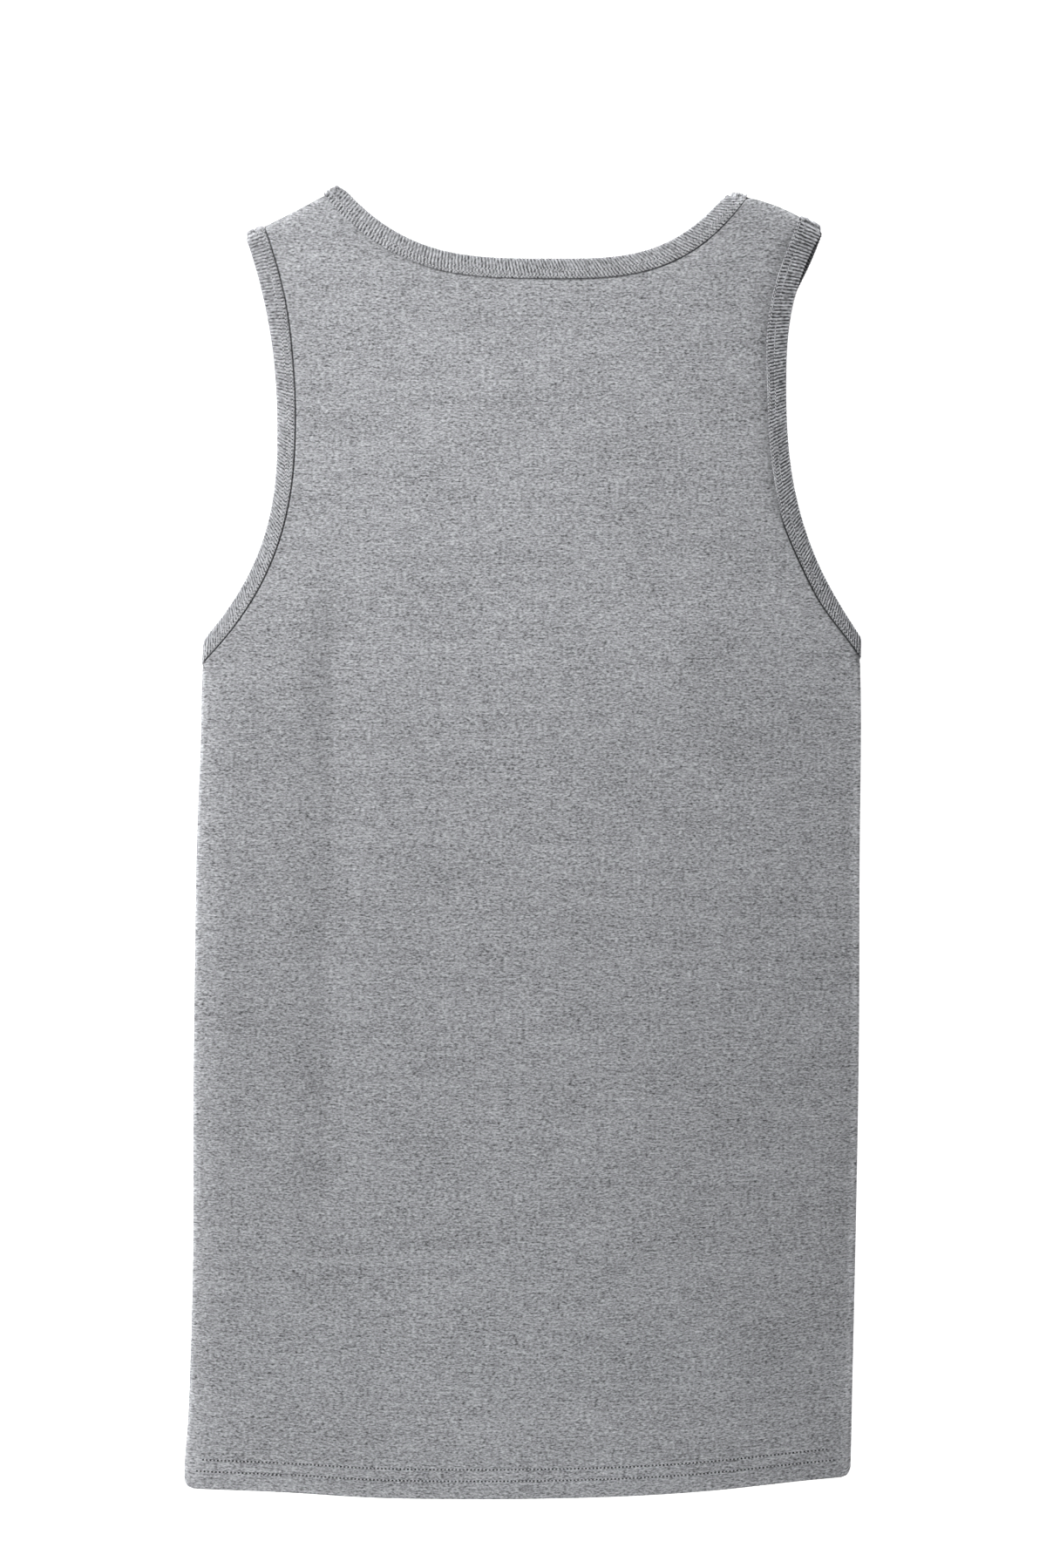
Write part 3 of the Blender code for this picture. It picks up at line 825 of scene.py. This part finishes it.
def painted_light_at(point, inside):
    """How much painted highlights pale the back's cloth at a point of its cut, or painted shade darkens
    it below nought.
    """
    side = side_of(point.x)
    fold = FOLDS[side]
    beyond = min(fold.beyond(point), 0)
    painted_light = fold_painted_light(point) * (1 - ramp(point.y, *FOLD_HIGHLIGHT_TOP))
    if point.y > STRAP_Y:
        painted_light += SHOULDER_HIGHLIGHT[side] * 2 * fold.share(point) * exp(beyond / SHOULDER_HIGHLIGHT_REACH)
        painted_light += SHOULDER_RIM_HIGHLIGHT * exp(beyond / SHOULDER_RIM_HIGHLIGHT_REACH)
    up = point.y - HEM_Y
    painted_light += HEM_HIGHLIGHT * ease((HEM_DEPTH + HEM_HIGHLIGHT_EASE / 2 - up) / HEM_HIGHLIGHT_EASE)
    painted_light += HEM_EDGE_HIGHLIGHT * (1 - ease(up / HEM_EDGE_HIGHLIGHT_EASE))
    opened = open_seam(point.x, point.y)
    # Painted shade darkens the cloth along an open seam groove
    groove = opened * (1 - ease((inside - SEAM_WIDTH[side]) / SEAM_EASE))
    if not by_neck(point.x, point.y):
        shade = ARM_SHADE[side] * (1 - opened / 2) * exp(-inside / ARM_SHADE_REACH)
        painted_light -= shade * (1 - exp(beyond / ARM_SHADE_REACH))
        if side < 0:
            groove *= 1 - LEFT_SEAM_EASE * ramp(point.y, *LEFT_SEAM_Y)
    return (1 + painted_light) * (1 - SEAM_SHADE * groove) - 1


def band_painted_light(band, point, along, layer):
    """How much painted highlights pale a binding's rib at a point of its cut, or painted shade darkens
    it below nought.
    """
    if layer == "front":
        return 0 if band == "neck" else -FRONT_BAND_SHADE
    side = side_of(point.x)
    beyond = FOLDS[side].beyond(point)
    rim, end, reach, past = BAND_HIGHLIGHT[band, side]
    painted_light = end * exp(min(beyond, 0) / reach) + past * ease(beyond / TURN_EASE)
    if along < RIM_WIDE:
        painted_light += rim
    if band == "arm":
        painted_light += fold_painted_light(point) / 2
    if (band, side) == ("arm", -1):
        painted_light -= STRAP_SHADE * ramp(point.y, *STRAP_SHADE_Y)
    return painted_light


def write_painted_light(bm, painted_light_of):
    """Keep each point's painted light and shade as an attribute."""
    painted_lights = [painted_light_of[vert] for vert in bm.verts]
    layer = bm.verts.layers.float.new("painted_light")
    for vert, painted_light in zip(bm.verts, painted_lights):
        vert[layer] = painted_light


def back_panel(cloth):
    """The back: one sheet mapped between its hem, its sides and armholes, and its neck."""
    outer = FLAT_HALF + ROLL
    arms = {side: arm_line("back", side, ARM_BAND - TUCK, SEAM_PAST)[::-1] for side in SIDES}
    neck = neck_line("back", NECK_BAND - TUCK, SEAM_PAST)
    left, right = arms[-1][-1], arms[1][-1]
    top = [left] + neck + [right]
    fold = ROLL / (2 * outer)
    folds = [fold * step / FOLD_COLUMNS for step in range(FOLD_COLUMNS)]
    kinks = [(point.x - left.x) / (right.x - left.x) for point in (neck[0], neck[-1])]
    step = BODY_COLUMN / (2 * outer)
    columns = folds + spaced(fold, kinks[0], step) + spaced(kinks[0], kinks[1], step)
    columns += spaced(kinks[1], 1 - fold, step) + [1 - fold]
    columns += [1 - share for share in reversed(folds)]

    bm, spots = grid_of(columns, back_rows())
    where = {}
    for vert, column, (kind, value) in spots:
        ends = [row_end(kind, value, arms[side], side * outer) for side in SIDES]
        point = ends[0].lerp(ends[1], column)
        inside = 1
        if kind == "arm":
            inside = min((point - end).length for end in ends)
            above = crossing(top, 0, left.x + (right.x - left.x) * column)
            point.y += (above.y - left.lerp(right, column).y) * value ** TOP_POWER
            if kinks[0] <= column <= kinks[1]:
                ahead = crossing(top, 0, above.x + 1 * MM)
                inside = min(inside, (above.y - point.y) * 1 * MM / max((ahead - above).length, 1 * MM))
        where[vert] = (point, inside)
    sheet = doubled(bm)
    write_cut(bm, {vert: where[twin][0] for vert, twin, face_side in sheet})
    painted_lights = {}
    for vert, twin, face_side in sheet:
        point, inside = where[twin]
        out = face_out(point.y, face_side)
        if face_side > 0:
            opened = open_seam(point.x, point.y)
            out -= GROOVE_DEPTH * opened * (1 - ease((inside - GROOVE_FLOOR) / GROOVE_EASE))
            out -= DIP_DEPTH * (1 - opened) * (1 - ease(inside / DIP_EASE))
        vert.co = place(point, out, "back")
        painted_lights[vert] = painted_light_at(point, inside)
    write_painted_light(bm, painted_lights)
    return finish("back_cloth", bm, cloth, "back_panel")


def front_grid():
    """The x of the front's grid lines up the garment, and the y of those across it."""
    columns = [0, FLAT_HALF - 2 * MM]
    for row in FRONT_COLUMNS:
        columns += spaced(*row)
    rows = [HEM_Y + value * MM for value in EDGE_ROWS["front"]]
    for row in FRONT_ROWS:
        rows += spaced(*row)
    return sorted({side * line for line in columns for side in SIDES}), rows


def cut_along(bm, where, across, faces):
    """Cut some flat faces along a line, through a point and across a direction."""
    parts = dict.fromkeys(part for face in faces for part in (face, *face.edges, *face.verts))
    plane = {"plane_co": (*where, 0), "plane_no": (*across, 0)}
    bmesh.ops.bisect_plane(bm, geom=list(parts), dist=1e-6, **plane)


def front_panel(cloth):
    """The front: its outline cut into a grid, thickened and laid on the surface."""
    right = arm_line("front", 1, ARM_BAND + GAP, SEAM_PAST)
    left = arm_line("front", -1, ARM_BAND + GAP, SEAM_PAST)
    neck = neck_line("front", NECK_BAND + GAP, SEAM_PAST)
    outline = [Vector((-FRONT_HALF, HEM_Y)), Vector((FRONT_HALF, HEM_Y))]
    outline += resampled(right, ARM_POINTS)[::-1]
    outline += resampled(neck, NECK_POINTS)[::-1]
    outline += resampled(left, ARM_POINTS)
    bm = bmesh.new()
    bm.faces.new([bm.verts.new((point.x, point.y, 0)) for point in outline])
    columns, rows = front_grid()
    for x in columns:
        cut_along(bm, (x, 0), (1, 0), bm.faces)
    for y in rows:
        cut_along(bm, (0, y), (0, 1), bm.faces)
    for side, fold in FOLDS.items():
        for share in STRAP_CUTS:
            strap = [face for face in bm.faces if face.calc_center_median().x * side > STRAP_X]
            strap = [face for face in strap if face.calc_center_median().y > STRAP_Y]
            cut_along(bm, fold.neck + fold.outward * SEAM_PAST * share, fold.outward, strap)
    sheet = doubled(bm)
    write_cut(bm, {vert: vert.co.xy for vert in bm.verts})
    for vert, twin, face_side in sheet:
        vert.co = place(vert.co.xy, face_out(vert.co.y, face_side), "front")
    return finish("front_cloth", bm, cloth, "front_panel")


def turned_side(side, cloth):
    """One turned-under side: a hidden sheet that doubles back at the side seam."""
    deep = TURNED_OUTER_X - SEAM_X
    shares = spaced(0, 1, TURNED_COLUMN)
    across = [("lower", share) for share in shares]
    across += [("seam", step / SEAM_TURNS) for step in range(SEAM_TURNS)]
    across += [("upper", 1 - share) for share in shares] + [("upper", 0)]
    full = TURNED_SEAM_Y - HEM_Y
    up = [value * MM / full for value in EDGE_ROWS["turned"]]
    up += [value / full for value in spaced(9 * MM, HEM_DEPTH + HEM_EASE, 3 * MM)]
    up += spaced((HEM_DEPTH + HEM_EASE) / full, 1, TURNED_ROW) + [1]
    bm, spots = grid_of(across, up)
    where = {vert: (column, row) for vert, column, row in spots}
    cut_of = {}
    for vert, twin, face_side in doubled(bm):
        (part, share), height = where[twin]
        x = SEAM_X if part == "seam" else TURNED_OUTER_X - deep * share
        if part == "upper":
            x = SEAM_X + deep * (1 - share)
        bent = asin(min((TURNED_OUTER_X - x) / deep, 1))
        top_y = TURNED_SEAM_Y + (TURNED_TOP_Y - TURNED_SEAM_Y) * cos(bent)
        y = HEM_Y + (top_y - HEM_Y) * height
        out = face_out(y, face_side)
        radius = (slot(y) + GAP) / 2
        base = SEAM_X + radius + slot(y) / 2
        if part == "seam":
            turn = pi * share
            flat_x = base - (radius + out) * sin(turn)
            z = slot(y) + GAP / 2 - (radius + out) * cos(turn)
        else:
            flat_x = max(x, base)
            z = slot(y) / 2 - out if part == "lower" else 1.5 * slot(y) + GAP + out
        cut_of[vert] = Vector((side * (2 * SEAM_X - x if part == "upper" else x), y))
        vert.co = laid(side * flat_x, y, z)
    write_cut(bm, cut_of)
    name = SIDES[side]
    return finish(name + "_turned_cloth", bm, cloth, "turned_side_" + name)


def band_section(width):
    """A binding's section: how far in from its edge, how far out, and how strongly its ribs show."""
    wide = width / MM
    near, far = (wide - row / MM for row in BAND_ROWS)
    section = [
        (0, 0, 1),
        (0.15, 0.42, 1),
        (0.5, 0.74, 1),
        (1.2, 0.9, 1),
        (2.6, 0.96, 1),
        (far - 1.3, 0.96, 1),
        (far - 0.6, 0.9, 0.9),
        (far, 0.76, 0.5),
        (far + 0.6, 0.9, 0.9),
        (far + 1.5, 0.97, 1),
        (near - 0.6, 0.9, 0.9),
        (near, 0.76, 0.5),
        (near + 0.6, 0.92, 0.9),
        (wide - 0.35, 0.9, 0.9),
        (wide - 0.08, 0.66, 0.7),
        (wide, 0.3, 0.3),
        (wide, -0.3, 0),
        (wide - 0.4, -0.85, 0),
        (wide / 2, -0.9, 0),
        (0.6, -0.78, 0),
        (0.15, -0.42, 0),
    ]
    return [(along * MM, out * MM, ribs) for along, out, ribs in section]


def rounded_corners(stations, band):
    """The stations with the binding's outer edge drawn in near each shoulder fold."""
    drawn = []
    for outer, inner, layer in stations:
        for side, fold in FOLDS.items():
            past = ease(fold.beyond(outer) / SHOULDER_ROLL) if layer == "back" else 1
            radius = (CORNERS[band, side] + (FRONT_CORNER - CORNERS[band, side]) * past) * MM
            near = radius + fold.beyond(outer) if outer.x * side > 0 else 0
            if near > 0:
                pull = radius - sqrt(max(radius ** 2 - min(near, radius) ** 2, 0))
                outer = outer + (inner - outer).normalized() * pull
        drawn.append((outer, inner, layer))
    return drawn


def over_shoulder(fold, outer, inner):
    """Stations that carry a binding over a shoulder fold, from the back to the front."""
    stations = []
    steps = SHOULDER_WALES * WALE_STEPS
    for step in range(1, steps):
        past = fold.outward * (SHOULDER_ROLL * step / steps)
        stations.append((outer + past, inner + past, "back"))
    return stations


def edge_pairs(line_of, layer, width, *side):
    """Stations on both edges of a binding, a fixed number to each rib."""
    outer = line_of(layer, *side, 0, 0)
    count = round(length_of(outer) / WALE) * WALE_STEPS + 1
    pairs = zip(resampled(outer, count), resampled(line_of(layer, *side, width, 0), count))
    return [(one, other, layer) for one, other in pairs]


def arm_stations(side):
    """An armhole binding's stations, from under the side fold over the shoulder to the front."""
    back = edge_pairs(arm_line, "back", ARM_BAND, side)[::-1]
    front = edge_pairs(arm_line, "front", ARM_BAND, side)
    return rounded_corners(back + over_shoulder(FOLDS[side], *back[-1][:2]) + front, "arm")


def neck_stations():
    """The neck binding's stations: across the back, then round the front from right to left."""
    back = edge_pairs(neck_line, "back", NECK_BAND)
    front = edge_pairs(neck_line, "front", NECK_BAND)[::-1]
    left = over_shoulder(FOLDS[-1], *back[0][:2])[::-1]
    return rounded_corners(back + over_shoulder(FOLDS[1], *back[-1][:2]) + front + left, "neck")


def binding(name, node, stations, width, slant, cloth):
    """A binding: its ribbed section carried along its stations, in a ring at the neck."""
    section = band_section(width)
    closed = node == "neck_binding"
    along_rib, along_width, depth = WALE_NOISE
    numbered = list(enumerate(stations + stations[:1] if closed else stations))
    bm, spots = grid_of(section + section[:1], numbered)
    cut_of, painted_lights = {}, {}
    for vert, (along, out, ribs), (number, (outer, inner, layer)) in spots:
        phase = number / WALE_STEPS
        at = Vector((phase * along_rib, width * along_width, depth))
        uneven = WALE_SHARE + WALE_SPREAD * noise.noise(at)
        wave = cos(2 * pi * (phase + along * slant)) * WALE_DEPTH * ribs * uneven
        drawn = along
        if out > 0:
            out += wave
        elif along < NOSE:
            drawn -= wave
        point = outer.lerp(inner, drawn / width)
        cut_of[vert] = Vector((number * WALE / WALE_STEPS, along))
        painted_lights[vert] = band_painted_light("neck" if closed else "arm", point, along, layer)
        vert.co = place(point, out, layer)
    write_cut(bm, cut_of)
    write_painted_light(bm, painted_lights)
    bmesh.ops.remove_doubles(bm, verts=bm.verts, dist=1e-7)
    if not closed:
        ends = [edge for edge in bm.edges if edge.is_boundary]
        bmesh.ops.holes_fill(bm, edges=ends, sides=0)
    return finish(name, bm, cloth, node)


def beads(name, rows_of_places, size, cloth):
    """Rows of small egg shapes. A place says where one is, how it heads, and which way is up."""
    whole = bmesh.new()
    shape = Matrix.Diagonal((*size, 1)) @ Matrix.Rotation(pi / 2, 4, "Y")
    for places in rows_of_places:
        for start in range(0, len(places), BATCH):
            few = bmesh.new()
            for where, heading, up in places[start:start + BATCH]:
                heading = heading.normalized()
                across = up.cross(heading).normalized()
                turn = Matrix((heading, across, heading.cross(across))).transposed().to_4x4()
                lay = Matrix.Translation(where) @ turn @ shape
                bmesh.ops.create_uvsphere(few, u_segments=6, v_segments=5, radius=0.5, matrix=lay)
            piece = bpy.data.meshes.new("few")
            few.to_mesh(piece)
            few.free()
            whole.from_mesh(piece)
            bpy.data.meshes.remove(piece)
    return finish(name, whole, cloth)


def row_of_places(points, out, layer, offset):
    """Places a stitch apart along a line of the cut, the first a share of a stitch in."""
    count = max(round(length_of(points) / STITCH), 2)
    steps = PER_STITCH * count
    even = resampled(points, steps + 1)
    found = []
    for index in range(round(PER_STITCH * offset), steps + 1, PER_STITCH):
        before, point, after = even[max(index - 1, 0)], even[index], even[min(index + 1, steps)]
        here = place(point, out, layer)
        above = place(point, out + 0.1 * MM, layer)
        found.append((here, place(after, out, layer) - place(before, out, layer), above - here))
    return found


def sewn_rows(name, lines, sizes, thread, hole_shade):
    """Stitch rows along lines of the cut: raised threads, and dark beads of painted shade in the needle
    holes between them.
    """
    threads, hole_shades = [], []
    for points, out, layer in lines:
        threads.append(row_of_places(points, out, layer, 0.5))
        hole_shades.append(row_of_places(points, out, layer, 0))
    return [
        beads(name + "_threads", threads, sizes[0], thread),
        beads(name + "_hole_shades", hole_shades, sizes[1], hole_shade),
    ]


def hem_stitching(thread, hole_shade):
    """The two rows that hold the hem, on the back and on the front."""
    lines = []
    for up, start, end in HEM_ROWS:
        points = [Vector((x, HEM_Y + up)) for x in spaced(start, end, STITCH) + [end]]
        lines.append((points, BOUND / 2, "back"))
        points = [Vector((point.x * FRONT_HEM_SHARE, point.y)) for point in points]
        lines.append((points, UNDER_OUT, "front"))
    return sewn_rows("hem", lines, (HEM_THREAD, HEM_HOLE_SHADE), thread, hole_shade)


def loose_ends(thread):
    """Single threads that hang free, as chains of overlapping beads."""
    chains = []
    for out, path in LOOSE_ENDS:
        path = [Vector(point) * MM for point in path]
        points = resampled(path, round(length_of(path) / LOOSE_STEP) + 2)
        laid_down = [place(point, out * MM, "back") for point in points]
        pairs = zip(laid_down, laid_down[1:])
        chains.append([(one.lerp(two, 0.5), two - one, Vector((0, 0, 1))) for one, two in pairs])
    return beads("loose_ends", chains, LOOSE_BEAD, thread)


def band_stitching(name, stations, thread, hole_shade):
    """The two rows that hold a binding, all along it."""
    lines = []
    for height in BAND_ROWS:
        runs = []
        for outer, inner, layer in stations:
            point = inner + (outer - inner).normalized() * height
            if not runs or runs[-1][1] != layer:
                runs.append(([], layer))
            runs[-1][0].append(point)
        runs = [(points, layer) for points, layer in runs if len(points) > LEAST_POINTS]
        lines += [(points, BAND_OUT[layer], layer) for points, layer in runs]
    made = sewn_rows(name, lines, (BAND_THREAD, BAND_HOLE_SHADE), thread, hole_shade)
    if name == "right_armhole":
        pairs = [(outer, inner) for outer, inner, layer in stations if layer == "back"]
        edge = [inner + (outer - inner).normalized() * EDGE_LOOPS for outer, inner in pairs]
        shown = [point for point in edge if ARM_GROOVE_Y < point.y and FOLDS[1].beyond(point) < 0]
        loops = [row_of_places(shown, BAND_OUT["back"], "back", 0.5)]
        made.append(beads(name + "_loops", loops, BAND_THREAD, thread))
    return made


class Shading:
    """A material, and the nodes that it is built from."""

    def __init__(self, name, settings):
        self.material = bpy.data.materials.new(name)
        self.material.use_nodes = True
        self.tree = self.material.node_tree
        self.shader = self.tree.nodes["Principled BSDF"]
        for socket, value in settings.items():
            self.shader.inputs[socket].default_value = value

    def node(self, kind, **inputs):
        """A new node, its inputs fed with outputs or set to values."""
        made = self.tree.nodes.new("ShaderNode" + kind)
        for name, value in inputs.items():
            self.feed(made.inputs[name], value)
        return made

    def feed(self, socket, value):
        """Join an output to an input, or set the input to a value."""
        if isinstance(value, bpy.types.NodeSocket):
            self.tree.links.new(value, socket)
        else:
            socket.default_value = value

    def maths(self, operation, *values):
        """One Math node fed with outputs or numbers."""
        made = self.node("Math")
        made.operation = operation
        for socket, value in zip(made.inputs, values):
            self.feed(socket, value)
        return made.outputs[0]

    def texture(self, where, grain, long=1, detail=2, turn=0):
        """Noise with grains of a size in mm, some of them stretched along X."""
        scale = 0.5 / (grain * MM)
        mapping = self.node("Mapping", Vector=where, Scale=(scale / long, scale, scale))
        mapping.inputs["Rotation"].default_value = (0, 0, turn)
        moved = mapping.outputs["Vector"]
        return self.node("TexNoise", Vector=moved, Scale=1, Detail=detail, Roughness=0.6).outputs["Fac"]


def cloth_material(name, color, contrast, rib_slant=None, rib_furrow_shade=0):
    """Heather cloth: pale and dark fibres spun together, knitted plain or as a rib, with painted shade
    in a rib's furrows and painted highlights and shade read from a point attribute.
    """
    made = Shading(name, CLOTH_FINISH)
    cut = made.node("UVMap")
    cut.uv_map = "cut"
    where = cut.outputs["UV"]
    if rib_slant is not None:
        place_on = made.node("SeparateXYZ", Vector=where).outputs
        where = made.node("CombineXYZ", X=place_on["Y"], Y=place_on["X"]).outputs["Vector"]
    shade = 1
    drawn = []
    for grain, long, detail, turn, share in NOISES:
        drawn.append(made.texture(where, grain, long, detail, turn))
        centred = made.maths("SUBTRACT", drawn[-1], 0.5)
        shade = made.maths("MULTIPLY_ADD", centred, share * contrast, shade)
    for grain, long, turn, least, share in FLECKS:
        fleck = made.maths("GREATER_THAN", made.texture(where, grain, long, turn=turn), least)
        shade = made.maths("MULTIPLY_ADD", fleck, share * contrast, shade)
    # The rib wave is painted shade in the furrows between ribs
    if rib_slant is not None:
        along = made.maths("DIVIDE", place_on["X"], WALE)
        slant = made.maths("MULTIPLY_ADD", place_on["Y"], rib_slant, along)
        wave = made.maths("COSINE", made.maths("MULTIPLY", slant, 2 * pi))
        grain, strength, least = RIB_BREAKS
        broken = made.maths("MULTIPLY_ADD", made.texture(where, grain), strength, least)
        wave = made.maths("MULTIPLY", wave, broken)
        shade = made.maths("MULTIPLY_ADD", wave, rib_furrow_shade, shade)
    shade = made.maths("MAXIMUM", shade, LEAST_SHADE)
    # Painted highlights from the attribute pale the colour here, and painted shade darkens it
    painted_light = made.node("Attribute")
    painted_light.attribute_name = "painted_light"
    shade = made.maths("MULTIPLY_ADD", shade, painted_light.outputs["Fac"], shade)
    paint = made.node("VectorMath")
    paint.operation = "SCALE"
    made.feed(paint.inputs[0], color)
    made.feed(paint.inputs["Scale"], shade)
    made.feed(made.shader.inputs["Base Color"], paint.outputs["Vector"])
    grains, fibres = drawn[1:3]
    bump = made.node("Bump", Strength=0.5, Distance=0.12 * MM, Height=made.maths("ADD", grains, fibres))
    made.feed(made.shader.inputs["Normal"], bump.outputs["Normal"])
    return made.material


def mottled_material(name, settings, grain, stops):
    """A plain material that wanders between two greys, with grains of a size in mm."""
    made = Shading(name, settings)
    where = made.node("TexCoord").outputs["Object"]
    greys = made.node("ValToRGB", Fac=made.texture(where, grain, detail=1))
    for element, (position, grey) in zip(greys.color_ramp.elements, stops):
        element.color = (*grey, 1)
        element.position = position
    made.feed(made.shader.inputs["Base Color"], greys.outputs["Color"])
    return made.material


def studio():
    """A plain pale floor, soft light from the upper left, and a camera straight above."""
    bm = bmesh.new()
    bmesh.ops.create_grid(bm, x_segments=1, y_segments=1, size=FLOOR_HALF)
    mesh = bpy.data.meshes.new("floor")
    bm.to_mesh(mesh)
    bm.free()
    mesh.materials.append(Shading("pale_floor", FLOOR_FINISH).material)
    floor = linked("floor", mesh)
    floor.location.z = CAD_LOW.z - 0.1 * MM

    world = bpy.data.worlds.new("studio")
    bpy.context.scene.world = world
    world.use_nodes = True
    background = world.node_tree.nodes["Background"].inputs
    background["Color"].default_value = WHITE
    background["Strength"].default_value = WORLD_GLOW

    for name, (place_at, aim, size, power, spread) in LIGHTS.items():
        data = bpy.data.lights.new(name, "AREA")
        data.size = size
        data.energy = power
        data.spread = spread
        light = linked(name, data)
        light.location = place_at
        light.rotation_euler = (Vector(aim) - Vector(place_at)).to_track_quat("-Z", "Y").to_euler()

    data = bpy.data.cameras.new("camera")
    data.lens = CAMERA_LENS
    data.sensor_width = 36
    data.clip_end = 20
    camera = linked("camera", data)
    camera.location = CAMERA_AT
    bpy.context.scene.camera = camera
    bpy.context.scene.view_settings.view_transform = "Standard"


def dress():
    """Make every piece."""
    jersey, neck_rib, *arm_ribs = (cloth_material(name, *looks) for name, looks in CLOTHS.items())
    thread = mottled_material("grey_thread", *THREAD_LOOKS)
    hole_shade = mottled_material("needle_hole_shade", *HOLE_SHADE_LOOKS)
    back = back_panel(jersey)
    front = front_panel(jersey)
    turned = [turned_side(side, jersey) for side in SIDES]
    stations = neck_stations()
    bands = [binding("neck_rib", "neck_binding", stations, NECK_BAND, NECK_SLANT, neck_rib)]
    sewn = band_stitching("neck", stations, thread, hole_shade)
    for (side, name), rib in zip(SIDES.items(), arm_ribs):
        stations = arm_stations(side)
        node = "armhole_binding_" + name
        bands.append(binding(name + "_armhole_rib", node, stations, ARM_BAND, ARM_SLANT, rib))
        sewn += band_stitching(name + "_armhole", stations, thread, hole_shade)
    sewn += hem_stitching(thread, hole_shade) + [loose_ends(thread)]


dress()
studio()
